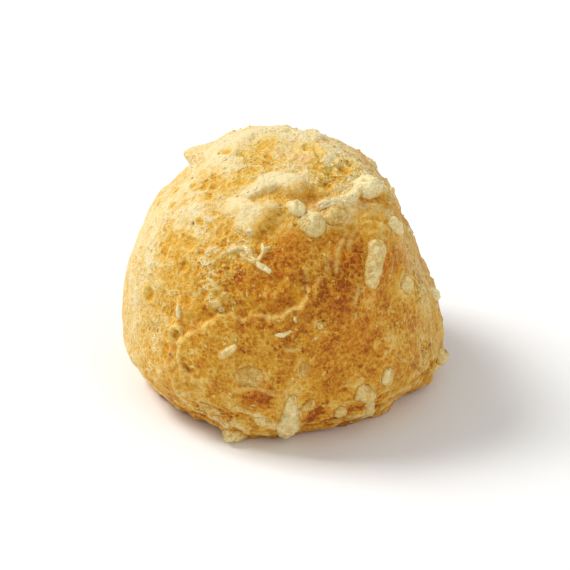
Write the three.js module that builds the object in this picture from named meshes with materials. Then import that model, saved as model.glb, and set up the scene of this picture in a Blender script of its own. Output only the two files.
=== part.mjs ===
// Cheese puff: one baked ball of cheese choux paste, a single solid.
// Millimetres, +Z up. The origin is the middle of the footprint, on the resting face.
// The torn front with the crack faces -Y, and the pulled tip points towards -X.

import * as THREE from 'three';
import { mergeVertices } from 'three/addons/utils/BufferGeometryUtils.js';

// Driving dimensions, mm.
const GIRTH_RADIUS = 26.5;  // from the upright axis to the widest line
const GIRTH_HEIGHT = 9.0;   // height of the widest line above the resting face
const RISE = 32.0;          // from the widest line up to the crown
const DROP = 16.0;          // how deep the underside would hang if the tray had not flattened it
const SQUARENESS = 2.25;    // 2 is an ellipsoid, and more fills out its shoulders
const CELLS = 26;           // grid cells along each edge of the box that is puffed out

// A bearing is a direction out of the middle of the puff. The azimuth turns from the front (-Y)
// towards +X, and the fall tips from the crown (0 degrees) past the widest line (90 degrees).
const bearing = (azimuth, fall) => {
  const turn = THREE.MathUtils.degToRad(azimuth);
  const tip = THREE.MathUtils.degToRad(fall);
  return new THREE.Vector3(
    Math.sin(turn) * Math.sin(tip),
    -Math.cos(turn) * Math.sin(tip),
    Math.cos(tip),
  );
};

// Swellings and hollows of the dough: where each is, its spread in degrees, its height in mm.
const LOBES = [
  { azimuth: -100, fall: 52, spread: 24, height: 0.1 },   // left shoulder
  { azimuth: -88, fall: 86, spread: 24, height: 1.2 },    // left belly
  { azimuth: 95, fall: 58, spread: 26, height: -3.2 },    // sunken right flank
  { azimuth: 75, fall: 36, spread: 16, height: 1.8 },     // right shoulder
  { azimuth: 135, fall: 38, spread: 22, height: 0.9 },    // right side of the crown
  { azimuth: 105, fall: 102, spread: 22, height: 1.4 },   // right belly
  { azimuth: -60, fall: 22, spread: 20, height: 1.2 },    // crown
  { azimuth: 180, fall: 24, spread: 40, height: 0.5 },    // back of the crown
  { azimuth: -150, fall: 56, spread: 35, height: 0.9 },   // back left
  { azimuth: 20, fall: 60, spread: 25, height: 0.3 },     // middle of the front
  { azimuth: 45, fall: 108, spread: 26, height: -1.6 },   // tuck above the front right foot
  { azimuth: -42, fall: 116, spread: 18, height: -2.0 },  // tuck above the front left foot
  { azimuth: -80, fall: 114, spread: 14, height: -0.8 },  // tuck on the left
  { azimuth: -20, fall: 118, spread: 10, height: 0.7 },   // front left foot
  { azimuth: 10, fall: 118, spread: 22, height: -1.9 },   // front edge, drawn in
  { azimuth: 38, fall: 118, spread: 9, height: -0.9 },    // tuck at the front right
  { azimuth: 93, fall: 84, spread: 10, height: 0.9 },     // lower right flank
  { azimuth: 62, fall: 120, spread: 10, height: -0.6 },   // notch beside the right foot
  { azimuth: 76, fall: 117, spread: 9, height: 1.3 },     // right foot
  { azimuth: -103, fall: 45, spread: 11, height: -1.8 },  // notch under the pulled tip
  { azimuth: 170, fall: 84, spread: 20, height: 1.0 },    // back belly
  { azimuth: -160, fall: 112, spread: 18, height: -0.9 }, // tuck above the back foot
  { azimuth: 82, fall: 103, spread: 5, height: 1.3 },     // melted cheese on the right belly
  { azimuth: 50, fall: 122, spread: 6, height: 0.9 },     // melted cheese at the right foot
  { azimuth: -150, fall: 122, spread: 7, height: 1.0 },   // melted cheese at the back foot
];

// The tip that the piping bag pulled out of the crown leans over towards -X.
const TIP = { azimuth: -116, fall: 26, spread: 6.5, pull: new THREE.Vector3(-4.0, 0, 1.0) };

// Cracks where the dough tore as it rose, one across the front and one across the back.
const CRACKS = [
  [[-41, 80], [-36, 72], [-26, 64], [-16, 63], [-6, 63], [3, 60], [11, 53], [20, 48]],
  [[128, 70], [146, 60], [165, 64], [-176, 56], [-158, 62]],
];

// A crack is a groove with a raised lip along its lower side.
const CRACK = { depth: 0.7, halfWidth: 3.0, lip: 0.6, lipOffset: 5.0, lipHalfWidth: 4.0 };

// Folds of dough that stand proud, each a flat-topped welt along a route of bearings.
const FOLDS = [
  { route: [[-29, 23], [-18, 18], [-6, 15], [10, 17]], height: 1.6, halfWidth: 4 },
  { route: [[-34, 29], [-24, 31], [-17, 31]], height: 0.6, halfWidth: 5 },
  { route: [[150, 44], [172, 38], [-165, 46]], height: 0.9, halfWidth: 6 },
];

// Fine unevenness all over: sine waves along spread-out directions, each shorter than the last.
const WAVES = { count: 9, height: 0.45, firstPitch: 6 };
const GOLDEN_TURN = 2.4;    // radians between one direction's azimuth and the next
const PHASE_STEP = 1.7;     // radians between the starts of two waves

const degreesBetween = (a, b) =>
  THREE.MathUtils.radToDeg(2 * Math.asin(Math.min(1, a.distanceTo(b) / 2)));

// A bell over an angle: one at no distance, falling off smoothly past the spread.
const bell = (degrees, spread, power = 2) => Math.exp(-(Math.abs(degrees / spread) ** power));

const lobes = LOBES.map((lobe) => ({ ...lobe, centre: bearing(lobe.azimuth, lobe.fall) }));
const tipCentre = bearing(TIP.azimuth, TIP.fall);

// The directions lie on a spiral from pole to pole.
const waves = Array.from({ length: WAVES.count }, (_, index) => {
  const level = 1 - (2 * (index + 0.5)) / WAVES.count;
  const reach = Math.sqrt(1 - level * level);
  return {
    direction: new THREE.Vector3(
      reach * Math.cos(GOLDEN_TURN * index),
      reach * Math.sin(GOLDEN_TURN * index),
      level,
    ),
    pitch: WAVES.firstPitch + index,
    phase: PHASE_STEP * index,
  };
});

// A smooth line of bearings through the route's few points.
const smoothRoute = (route) => {
  const knots = route.map(([azimuth, fall]) => bearing(azimuth, fall));
  const curve = new THREE.CatmullRomCurve3(knots, false, 'catmullrom');
  return curve.getPoints(8 * (route.length - 1)).map((point) => point.normalize());
};

// How far a direction lies from a line of bearings, in degrees, positive on its lower side,
// and how far along the line its nearest point is, from 0 to 1.
const placeByLine = (direction, line) => {
  const nearest = { distance: Infinity, along: 0, side: 1 };
  for (let i = 0; i < line.length - 1; i += 1) {
    const step = new THREE.Vector3().subVectors(line[i + 1], line[i]);
    const away = new THREE.Vector3().subVectors(direction, line[i]);
    const share = THREE.MathUtils.clamp(away.dot(step) / step.lengthSq(), 0, 1);
    away.addScaledVector(step, -share);
    if (away.length() < nearest.distance) {
      nearest.distance = away.length();
      nearest.along = (i + share) / (line.length - 1);
      nearest.side = Math.sign(away.dot(step.cross(line[i])));
    }
  }
  return {
    degrees: THREE.MathUtils.radToDeg(nearest.distance) * nearest.side,
    along: nearest.along,
  };
};

const crackLines = CRACKS.map(smoothRoute);
const folds = FOLDS.map((fold) => ({ ...fold, line: smoothRoute(fold.route) }));

// How far the skin stands out from the plain dome in one direction.
const relief = (direction) => {
  let height = 0;
  for (const { centre, spread, height: lobeHeight } of lobes) {
    height += lobeHeight * bell(degreesBetween(direction, centre), spread);
  }

  for (const { direction: axis, pitch, phase } of waves) {
    const swing = Math.sin(pitch * direction.dot(axis) + phase);
    height += (WAVES.height / Math.sqrt(WAVES.count)) * swing;
  }

  for (const { line, height: foldHeight, halfWidth } of folds) {
    height += foldHeight * bell(placeByLine(direction, line).degrees, halfWidth, 4);
  }

  for (const line of crackLines) {
    const { degrees, along } = placeByLine(direction, line);
    const fade = Math.min(1, 6 * along, 6 * (1 - along));
    const groove = CRACK.depth * bell(degrees, CRACK.halfWidth);
    const lip = CRACK.lip * bell(degrees - CRACK.lipOffset, CRACK.lipHalfWidth);
    height += fade * (lip - groove);
  }
  return height;
};

// The point of the skin in one direction: a squared-off dome, moved out along its normal by the
// relief, drawn out at the tip, and flat where it stood on the tray.
const skinPoint = (direction) => {
  const power = 2 / SQUARENESS;
  const reach = Math.hypot(direction.x, direction.y);
  const radius = GIRTH_RADIUS * Math.max(reach, 1e-6) ** (power - 1);
  const depth = direction.z > 0 ? RISE : DROP;
  const point = new THREE.Vector3(
    radius * direction.x,
    radius * direction.y,
    Math.sign(direction.z) * Math.abs(direction.z) ** power * depth,
  );
  const normal = point.clone()
    .divide(new THREE.Vector3(GIRTH_RADIUS ** 2, GIRTH_RADIUS ** 2, RISE ** 2))
    .normalize();

  point.addScaledVector(normal, relief(direction));
  point.addScaledVector(TIP.pull, bell(degreesBetween(direction, tipCentre), TIP.spread));
  point.z = Math.max(0, point.z + GIRTH_HEIGHT);
  return point;
};

// A box whose six grids are spread to even angles, so that every cell covers a like patch of skin.
const puffGeometry = () => {
  const box = new THREE.BoxGeometry(2, 2, 2, CELLS, CELLS, CELLS);
  box.deleteAttribute('normal');
  box.deleteAttribute('uv');
  const geometry = mergeVertices(box);
  const position = geometry.getAttribute('position');
  const direction = new THREE.Vector3();

  for (let i = 0; i < position.count; i += 1) {
    direction.fromBufferAttribute(position, i);
    direction.set(
      Math.tan((direction.x * Math.PI) / 4),
      Math.tan((direction.y * Math.PI) / 4),
      Math.tan((direction.z * Math.PI) / 4),
    ).normalize();
    position.setXYZ(i, ...skinPoint(direction).toArray());
  }

  geometry.computeBoundingBox();
  const centre = geometry.boundingBox.getCenter(new THREE.Vector3());
  geometry.translate(-centre.x, -centre.y, 0);
  geometry.computeVertexNormals();
  return geometry;
};

const crust = new THREE.MeshStandardMaterial({
  name: 'baked cheese crust',
  color: '#dcb163',
  roughness: 0.6,
  metalness: 0,
});

const puff = new THREE.Mesh(puffGeometry(), crust);
puff.name = 'puff';

const group = new THREE.Group();
group.add(puff);

export default group;
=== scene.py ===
from itertools import product

import bpy
import numpy as np
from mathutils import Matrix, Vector


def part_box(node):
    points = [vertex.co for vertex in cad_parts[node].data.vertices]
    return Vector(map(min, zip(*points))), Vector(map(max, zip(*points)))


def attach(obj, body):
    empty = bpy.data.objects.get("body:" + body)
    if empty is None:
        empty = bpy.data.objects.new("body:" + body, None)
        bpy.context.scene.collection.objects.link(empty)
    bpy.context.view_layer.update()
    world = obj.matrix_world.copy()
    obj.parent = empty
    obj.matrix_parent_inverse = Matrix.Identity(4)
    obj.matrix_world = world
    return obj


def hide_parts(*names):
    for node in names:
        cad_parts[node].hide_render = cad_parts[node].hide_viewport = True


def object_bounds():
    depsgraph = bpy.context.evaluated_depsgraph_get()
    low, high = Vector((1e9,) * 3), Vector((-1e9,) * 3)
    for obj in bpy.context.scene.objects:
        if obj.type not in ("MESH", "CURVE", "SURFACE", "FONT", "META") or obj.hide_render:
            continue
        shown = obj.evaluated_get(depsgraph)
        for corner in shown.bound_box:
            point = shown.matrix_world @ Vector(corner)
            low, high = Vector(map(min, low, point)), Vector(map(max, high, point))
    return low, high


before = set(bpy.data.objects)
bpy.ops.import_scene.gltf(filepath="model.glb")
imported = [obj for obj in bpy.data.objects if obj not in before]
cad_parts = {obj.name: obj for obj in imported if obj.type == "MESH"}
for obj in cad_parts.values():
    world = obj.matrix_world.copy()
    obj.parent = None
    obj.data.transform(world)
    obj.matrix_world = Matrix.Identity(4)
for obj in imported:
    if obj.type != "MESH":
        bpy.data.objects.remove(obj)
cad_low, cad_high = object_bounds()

MM = 0.001


# ---------------------------------------------------------------------------------------------
# The view: a long lens held half a metre off, thirty degrees above level, in front of the torn
# side. It looks at a point inside the puff, two fifths of the way up.
# ---------------------------------------------------------------------------------------------
VIEW_DISTANCE = 500 * MM
VIEW_ELEVATION = np.radians(30)
VIEW_WIDTH = 95.6 * MM      # how much the picture takes in at that distance
SENSOR_WIDTH = 36.0         # mm
AIM_OFF_CENTRE = Vector((0.3, -0.83)) * MM
AIM_HEIGHT = 17 * MM

middle = (Vector(cad_low) + Vector(cad_high)) / 2
aim = Vector((middle.x + AIM_OFF_CENTRE.x, middle.y + AIM_OFF_CENTRE.y, cad_low[2] + AIM_HEIGHT))
back_off = Vector((0, -np.cos(VIEW_ELEVATION), np.sin(VIEW_ELEVATION)))

lens = bpy.data.cameras.new("view")
lens.sensor_width = SENSOR_WIDTH
lens.lens = SENSOR_WIDTH * VIEW_DISTANCE / VIEW_WIDTH
camera = bpy.data.objects.new("view", lens)
camera.location = aim + back_off * VIEW_DISTANCE
camera.rotation_euler = back_off.to_track_quat("Z", "Y").to_euler()
bpy.context.collection.objects.link(camera)
bpy.context.scene.camera = camera


# ---------------------------------------------------------------------------------------------
# The ball of dough: cheese choux paste piped as one ball, which blew up in the oven, tore across
# its front, and set as a thin blistered crust, pale and floury on the crests and deep gold in the
# hollows. It replaces the CAD solid and fills the same box.
# ---------------------------------------------------------------------------------------------
GIRTH_RADIUS = 26.5     # mm, from the upright axis to the widest line
GIRTH_HEIGHT = 9.0      # mm, height of the widest line
RISE = 32.0             # mm, from the widest line up to the crown
DROP = 16.0             # mm, how deep the underside would hang if the tray had not flattened it
SQUARENESS = 2.25       # 2 is an ellipsoid, and more fills out its shoulders
CRUST_CELLS = 127       # cells along each edge of the puffed-out box
CROWD_UP = 0.35         # how far the cells are crowded away from the hidden underside
TRAY_ROUNDING = 0.3     # mm, how softly the wall turns into the flat base
CRACK_STEP = 0.40       # mm, how far a crack's lower side stands above its upper one
CRACK_DEPTH = 0.45      # mm, of the groove above the step
CRACK_LIP = 0.22        # mm, of the torn edge between them
PLAIN_BAKE = 0.54       # how browned the skin is where nothing changes it, from 0 to 1
PLAIN_ROUGH = 0.45      # how rough it is there, from 0 to 1

# Swellings and hollows of the dough: azimuth, fall, spread in degrees, height in mm.
LOBES = [
    (-100, 52, 24, 0.1),    # left shoulder
    (-88, 86, 24, 1.2),     # left belly
    (95, 58, 26, -3.2),     # sunken right flank
    (75, 36, 16, 1.8),      # right shoulder
    (135, 38, 22, 0.9),     # right side of the crown
    (105, 102, 22, 1.4),    # right belly
    (-60, 22, 20, 1.2),     # crown
    (180, 24, 40, 0.5),     # back of the crown
    (-150, 56, 35, 0.9),    # back left
    (20, 60, 25, 0.3),      # middle of the front
    (45, 108, 26, -1.6),    # tuck above the front right foot
    (-42, 116, 18, -2.0),   # tuck above the front left foot
    (-80, 114, 14, -0.8),   # tuck on the left
    (-20, 118, 10, 0.7),    # front left foot
    (10, 118, 22, -1.9),    # front edge, drawn in
    (38, 118, 9, -0.9),     # tuck at the front right
    (93, 84, 10, 0.9),      # lower right flank
    (62, 120, 10, -0.6),    # notch beside the right foot
    (76, 117, 9, 1.3),      # right foot
    (-104, 43, 10, -2.6),   # notch under the pulled tip
    (170, 84, 20, 1.0),     # back belly
    (-160, 112, 18, -0.9),  # tuck above the back foot
    (82, 103, 5, 1.3),      # melted cheese on the right belly
    (50, 122, 6, 0.9),      # melted cheese at the right foot
    (-150, 122, 7, 1.0),    # melted cheese at the back foot
]
TIP = (-116, 27, 5.7)                   # the tip pulled out of the crown: azimuth, fall, spread
TIP_PULL = np.array([-4.2, 0.0, 0.3])   # mm
WAVE_COUNT = 9
WAVE_HEIGHT = 0.45      # mm
FIRST_PITCH = 6

# Cracks, each a route of bearings (azimuth, fall).
CRACKS = [
    [(-37, 87), (-39.5, 83), (-40.5, 78.5), (-38, 74), (-34, 71), (-30, 68.5), (-25, 65.8),
     (-20, 64.2), (-16.7, 66), (-13.5, 64.6), (-11, 63.5), (-6, 63.4), (-1, 62.8), (2, 61),
     (5.4, 59.8), (7, 58), (9.2, 56), (10.2, 54), (13, 54), (15.4, 52.6), (20, 51)],
    [(128, 70), (146, 60), (165, 64), (-176, 56), (-158, 62)],
]
# Fine raised threads and wrinkles of dough: route, height in mm, half width in degrees.
THREADS = [
    ([(-45.5, 79), (-46.2, 76), (-44.5, 73.6), (-41, 73.6), (-40.5, 76)], 0.5, 0.8),
    ([(-37.6, 87.5), (-38.6, 84), (-39.4, 81), (-40.8, 78), (-41.4, 75.6)], 0.6, 0.8),
    ([(0, 6.5), (40, 4.5), (75, 3.5)], 0.5, 0.6),
    ([(95, 5.5), (80, 7.5), (68, 9.5), (60, 12)], 0.5, 0.6),
    ([(24, 17), (30, 19), (36, 22), (44, 23)], 0.4, 0.6),
    ([(15.5, 39.5), (14, 43), (16, 46)], 0.3, 0.6),
    ([(-1, 73.5), (3, 74), (6.5, 72.5)], 0.3, 0.6),
    ([(39, 39), (36.5, 41), (33.5, 43), (31.5, 45.5)], 0.45, 0.75),
    ([(36, 37.5), (32.5, 40.5), (29, 43)], 0.35, 0.7),
    ([(30, 42), (27, 45), (25.5, 49)], 0.3, 0.7),
    ([(45, 38), (51, 40.5), (56, 45), (58, 50), (57, 56)], 0.5, 0.8),
    ([(47, 36), (54, 38.5), (60.5, 43), (63, 49)], 0.4, 0.75),
    ([(46, 42), (50.5, 44.5), (53, 50), (51.5, 56), (48, 61)], 0.45, 0.75),
    ([(52, 33), (59, 36), (63, 40)], 0.35, 0.7),
    ([(33, 56), (31, 60), (27, 63)], 0.3, 0.7),
    ([(22, 86), (27, 87), (31, 86)], 0.3, 0.6),
    ([(-52, 88), (-47, 90.5), (-42, 91)], 0.3, 0.6),
    ([(-38, 86.5), (-34, 86), (-30, 85.6), (-25, 85)], 0.4, 0.8),
    ([(-13, 108), (-9, 113), (-3, 114)], 0.4, 0.6),
    ([(-17, 104), (-12, 107), (-6, 108)], 0.3, 0.6),
    ([(-41, 86), (-41.5, 90), (-39, 94), (-33, 97)], 0.4, 0.7),
    ([(-62, 46), (-55, 44), (-48, 44), (-40, 43)], 0.35, 0.7),
    ([(-58, 62), (-52, 65), (-50, 70)], 0.35, 0.7),
    ([(-66, 62), (-63, 66), (-64, 72)], 0.35, 0.7),
    ([(-20, 88), (-12, 85.5), (-5, 87), (2, 88)], 0.3, 0.7),
    ([(14, 93), (22, 92), (28, 93)], 0.3, 0.7),
    ([(52, 96), (58, 92), (66, 90), (74, 92)], 0.3, 0.7),
    ([(150, 82), (160, 86), (172, 85)], 0.3, 0.6),
    ([(-150, 40), (-165, 46), (-175, 42)], 0.4, 0.7),
    ([(138, 58), (146, 54), (158, 56)], 0.4, 0.7),
    ([(-112, 90), (-118, 84), (-128, 86)], 0.4, 0.7),
    ([(96, 42), (104, 48), (106, 56)], 0.4, 0.7),
    ([(112, 70), (120, 74), (124, 82), (120, 90)], 0.4, 0.8),
    ([(134, 74), (142, 78), (152, 76), (158, 70)], 0.4, 0.8),
    ([(-178, 84), (-168, 88), (-158, 84), (-150, 76)], 0.4, 0.8),
    ([(-140, 30), (-150, 24), (-164, 26), (-170, 34)], 0.45, 0.8),
    ([(-134, 62), (-128, 68), (-132, 78), (-126, 86)], 0.4, 0.8),
    ([(-136, 50), (-132, 56), (-134, 64)], 0.35, 0.8),
    ([(84, 78), (84.5, 84), (86, 90), (87, 96)], 0.3, 0.8),
    ([(78, 78), (78, 84), (79, 90)], 0.3, 0.8),
    ([(16, 43), (14, 46), (15.5, 49)], 0.35, 0.7),
    ([(19, 45), (20.5, 48), (18.5, 50)], 0.35, 0.7),
    ([(9.5, 48), (10, 51), (9.2, 53.5)], 0.35, 0.7),
    ([(23, 45), (24.5, 48.5), (23, 52)], 0.35, 0.7),
    ([(144, 24), (154, 30), (150, 38)], 0.45, 0.8),
    ([(166, 98), (176, 95), (-172, 99), (-160, 96)], 0.35, 0.8),
]
# Folds of pale dough: route, then height in mm and half width in degrees, each from end to end.
FOLDS = [
    ([(-29, 23.4), (-23, 20.7), (-18, 18.5), (-13, 16.5), (-6.5, 15.6), (1, 16.4),
      (9, 18.0)], (0.7, 1.8), (2.2, 4.5)),
    ([(-62, 40), (-50, 37), (-40, 37)], (0.4, 0.4), (3.0, 3.0)),
    ([(-100, 17), (-125, 17), (-150, 18), (175, 18), (150, 17)], (0.7, 0.7), (4.5, 4.5)),
    ([(48, 28), (56, 29), (66, 31), (76, 36)], (0.7, 0.7), (1.8, 1.8)),
    ([(150, 44), (172, 38), (-165, 46)], (0.9, 0.9), (5.0, 5.0)),
    ([(-120, 60), (-132, 72), (-128, 84)], (0.6, 0.6), (4.0, 4.0)),
]
# Flat tongues of pale dough, each of rounded patches: azimuth, fall, radius in degrees, and height
# in mm.
TONGUES = [
    (-8.5, 26.6, 2.4, 0.7), (-11.5, 29.2, 3.0, 0.8), (-14.5, 32.0, 3.2, 0.8), (-17, 34.6, 3.0, 0.8),
    (-20, 30.5, 4.6, 0.7), (-24, 33.0, 3.4, 0.5), (-27, 29.5, 4.2, 0.45), (-33, 28.8, 3.8, 0.25),
    (-160, 30.0, 7.0, 0.7), (-148, 34.0, 6.0, 0.7), (110, 48.0, 6.0, 0.7), (116, 54.0, 5.0, 0.7),
]
# Open bubbles and dimples: azimuth, fall, radius in degrees, depth in mm, rim in mm.
PITS = [
    (-43.0, 76.0, 1.8, 0.25, 0.3), (-47.4, 81.9, 2.2, 0.35, 0.1), (-43.8, 83.2, 1.5, 0.6, 0.2),
    (-42.4, 85.4, 1.3, 0.5, 0.1), (-48.5, 38.5, 1.5, 0.3, 0.1), (-24.5, 49.5, 1.9, 0.4, 0.1),
    (-27, 59.5, 1.6, 0.4, 0.1), (-14.5, 60.8, 2.3, 0.3, 0.0), (4.6, 56.6, 2.4, 0.3, 0.0),
    (-46.5, 54, 1.9, 0.4, 0.1), (-47.5, 47, 2.2, 0.3, 0.1), (-60.5, 54, 1.8, 0.3, 0.1),
    (-61.5, 69, 2.2, 0.3, 0.2), (-38, 69.5, 1.6, 0.4, 0.1), (-41, 64, 2.2, 0.3, 0.1),
    (-120, 7, 3.0, 0.3, 0.0), (108, 7.6, 2.4, 0.6, 0.2), (97, 9.4, 1.4, 0.5, 0.1),
    (-42, 18.5, 2.2, 0.4, 0.0), (73, 19.5, 2.4, 0.5, 0.2), (47, 13, 2.0, 0.4, 0.1),
    (44, 19.5, 2.0, 0.4, 0.1), (58, 16, 1.6, 0.4, 0.1), (86, 21, 2.0, 0.5, 0.1),
    (62, 11, 1.6, 0.4, 0.1), (102, 27, 2.2, 0.5, 0.2), (-85, 38, 1.9, 0.3, 0.1),
    (-74, 41, 1.5, 0.3, 0.1), (-72, 31, 1.3, 0.3, 0.1), (-96, 17, 1.8, 0.3, 0.1),
    (-88, 12.5, 1.3, 0.4, 0.1), (-55, 30, 1.8, 0.2, 0.1), (66, 69, 0.9, 0.25, 0.14),
    (68.5, 71.5, 0.9, 0.25, 0.14), (64.5, 72.3, 0.9, 0.25, 0.14), (67, 75, 1.0, 0.25, 0.14),
    (63, 69.5, 0.8, 0.2, 0.12), (71, 69, 0.9, 0.25, 0.14), (71.5, 74.5, 0.9, 0.25, 0.14),
    (10.5, 50.5, 1.0, 0.5, 0.0), (57, 64.5, 2.2, 0.25, 0.3), (30, 46, 2.0, 0.3, 0.0),
    (27.5, 65.5, 0.9, 0.5, 0.0), (67, 78, 0.8, 0.4, 0.1), (150, 50, 2.4, 0.5, 0.2),
    (-170, 74, 2.0, 0.5, 0.3), (-140, 48, 2.8, 0.4, 0.1), (175, 52, 3.0, 0.5, 0.1),
    (110, 80, 1.8, 0.5, 0.3), (-118, 66, 2.0, 0.4, 0.2),
]
# Low blisters of pale skin, raised a little: azimuth, fall, radius in degrees.
BLISTERS = [
    (66, 15, 2.6), (88, 13.5, 3.4), (40, 13.5, 1.8), (84, 17.5, 2.4), (96, 21, 2.4), (95, 31, 2.2),
    (50, 22.5, 1.8), (38, 17.5, 1.8), (66, 23.5, 1.6), (30, 13, 1.6), (25, 17, 1.4), (108, 18, 3.0),
    (-140, 12, 4.0), (-155, 11, 4.0), (165, 10, 4.0), (180, 10, 3.0), (-128, 14, 3.0), (-85, 14.5, 2.2),
    (-66, 14.5, 2.4), (-68, 19, 2.2), (-84, 19, 2.4), (-96, 22, 2.6), (-75, 33, 4.2), (-63, 42.5, 3.6),
    (-72, 54, 3.0), (-56, 36, 2.6), (-66, 59, 3.0), (-42, 49.5, 1.6), (-35, 46, 1.8), (-30, 48, 1.5),
    (-33, 57.5, 2.0), (-25, 54, 1.6), (-53, 56, 1.6), (-50, 66, 1.8), (-58, 64, 2.0), (-56, 76, 2.2),
    (-53, 82, 2.2), (-49, 88, 2.4), (-72, 74, 3.0), (-70, 84, 3.0), (57, 36, 3.0), (61, 39.5, 2.2),
    (13, 67.2, 1.4), (27.5, 67, 1.4), (36, 64.5, 2.0), (7, 79.5, 2.2), (43, 76.5, 3.4),
    (4.5, 85.3, 2.4), (-2, 84.5, 1.8), (-27, 95, 2.2), (-30, 87.5, 1.8), (-37, 96, 2.8),
    (-22.5, 101, 2.0), (-26, 105, 2.0), (-8, 100.5, 2.0), (-15, 92.5, 1.8), (72, 70, 2.4),
    (76, 64, 1.8), (70, 58, 2.0), (80, 78, 2.4), (64, 74, 2.0), (88, 70, 2.0), (20, 74, 1.6),
    (-20, 71, 1.8), (-8, 70, 1.6), (32, 80, 1.6),
]
# Hollows in which the skin is thin and golden: azimuth, fall, radius in degrees.
HOLLOWS = [
    (98, 11.5, 1.8), (55, 9.5, 1.6), (33, 19.5, 1.8), (57, 20, 2.2), (80, 24, 1.8), (88, 30, 1.8),
    (25, 20.6, 1.8), (96, 35, 1.8), (76, 10, 1.5), (50, 16.5, 1.4), (-105, 8, 2.4), (-58, 5, 2.6),
    (-62, 9, 2.4), (-46, 13.5, 2.4), (-67, 24, 2.0), (-67, 28.5, 1.8), (-58, 24.5, 2.0), (-52, 22, 2.0),
    (-56, 29.5, 1.6), (-80, 26, 1.6), (-62, 51, 2.6), (-49, 46.5, 2.4), (-62.5, 56, 1.8),
    (-53, 60, 2.4), (-40, 54, 2.0), (-32, 51.5, 1.8), (-34, 62, 2.0), (-45, 62, 2.0), (-48, 70, 1.8),
    (-56, 70, 1.6), (-59, 78, 1.8), (-36, 41, 2.2), (-30, 38, 1.8), (-41, 38, 1.6), (-20, 57, 1.8),
    (-9, 55, 2.0), (-1, 53, 2.0), (10, 48.5, 1.6), (12, 51.5, 1.8), (16, 46, 1.6), (20, 51, 1.6),
    (22, 43, 1.6), (-6, 34, 1.8), (-4, 29, 1.8), (15, 26, 1.8), (27, 24, 1.6), (46, 35, 2.0),
    (38, 37, 2.0), (73, 54, 1.8), (77, 69, 1.4), (68, 65, 1.4), (82, 61, 1.6), (83, 72, 1.5),
    (-1, 66, 1.8), (-25.5, 89.5, 2.2), (-22.5, 96, 1.8), (-19.5, 107, 2.0), (-15, 99.5, 1.8),
    (-34, 91, 1.8), (19, 105, 2.6), (-46, 93, 2.0), (31, 97, 2.0), (44, 99, 2.0), (8, 72, 1.4),
    (-12, 78, 1.6), (35, 71, 1.4),
]
strewn = np.random.default_rng(8)   # for the patches on the back


def strew(count):
    """Patches strewn evenly over the back: azimuth, fall, radius in degrees."""
    upright = strewn.uniform(np.cos(np.radians(110)), np.cos(np.radians(14)), count)
    azimuth = strewn.uniform(106, 254, count)
    radius = strewn.uniform(1.3, 3.0, count)
    return list(zip(azimuth, np.degrees(np.arccos(upright)), radius))


BLISTERS += strew(60)
HOLLOWS += strew(56)
# Where the skin is rough: azimuth, fall, spread in degrees, roughness, and the way it is drawn out.
ROUGH = [
    (70, 19, 15, 1.0, (1, 0.3, -0.4)),
    (100, 26, 12, 0.9, (1, 0.3, -0.4)),
    (-28, 53, 15, 0.9, (1, 0, 0.6)),
    (16, 51, 10, 0.8, (1, 0, 0.7)),
    (52, 52, 11, 0.5, (-0.3, 0, -1)),
    (-54, 74, 11, 0.5, (0.4, 0, 1)),
    (0, 70, 9, 0.5, (1, 0, 0)),
    (-26, 103, 16, 0.8, (1, 0, -0.3)),
    (15, 106, 12, 0.5, (1, 0, 0)),
    (80, 68, 13, 0.9, (0, 0, 1)),
    (64, 88, 12, 0.75, (0.4, 0, 1)),
    (67, 71, 6, 1.0, (0, 0, 1)),
    (-60, 9, 14, 0.7, (1, 0.4, 0)),
    (-68, 27, 9, 0.6, (0, 1, 0)),
    (172, 30, 24, 0.9, (1, 0, -0.5)),
    (-165, 70, 20, 0.7, (1, 0, 0.5)),
    (120, 62, 18, 0.6, (0, 0, 1)),
]
# How brown the oven left each part, with some painted shade under the front fold: azimuth, fall, spread,
# change.
BROWNING = [
    (-90, 66, 40, -0.32), (-70, 24, 28, -0.28), (150, 18, 30, -0.28), (10, 78, 50, 0.22),
    (-2, 50, 13, 0.12), (24, 48, 13, 0.12), (4, 38, 7, 0.16), (52, 52, 9, 0.2), (33, 50, 8, 0.1),
    # (20, 24.5) and (-5, 24.5) are partly painted shade under the front fold.
    (23, 60, 9, 0.1), (60, 33, 5, 0.15), (20, 24.5, 6, 0.25), (-5, 24.5, 4.5, 0.22), (-10, 88, 6, 0.14),
    (8, 99, 7, 0.18), (-20, 54, 6, 0.12), (-8, 45, 4, 0.12), (-50, 86, 8, -0.1), (-66, 58, 5, -0.12),
    (-48, 40, 5, -0.1), (-58, 48, 7, 0.16), (-45, 58, 12, 0.12), (82, 68, 12, -0.24),
    (100, 28, 16, -0.15), (62, 84, 14, -0.05), (67, 71, 5, -0.1), (86, 103, 1.8, 0.5),
    (-52, 87, 9, 0.1), (-45, 82.5, 4, 0.12), (43, 77, 4, -0.12), (120, 33, 4, 0.3), (75, 36, 8, 0.15),
    (-60, 8, 9, 0.12), (-62, 26, 7, 0.14), (-34, 35.5, 4, 0.12), (-20, 31, 7, -0.14),
    (-8, 31.5, 2.6, 0.16), (-11.5, 35.5, 2.6, 0.14), (7, 16, 4, -0.14), (2, 14, 5, -0.22),
    (-16, 18, 4, -0.12), (160, 58, 16, 0.2), (-150, 66, 14, 0.2), (125, 95, 16, 0.2),
    (-130, 96, 14, 0.2),
]
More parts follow.
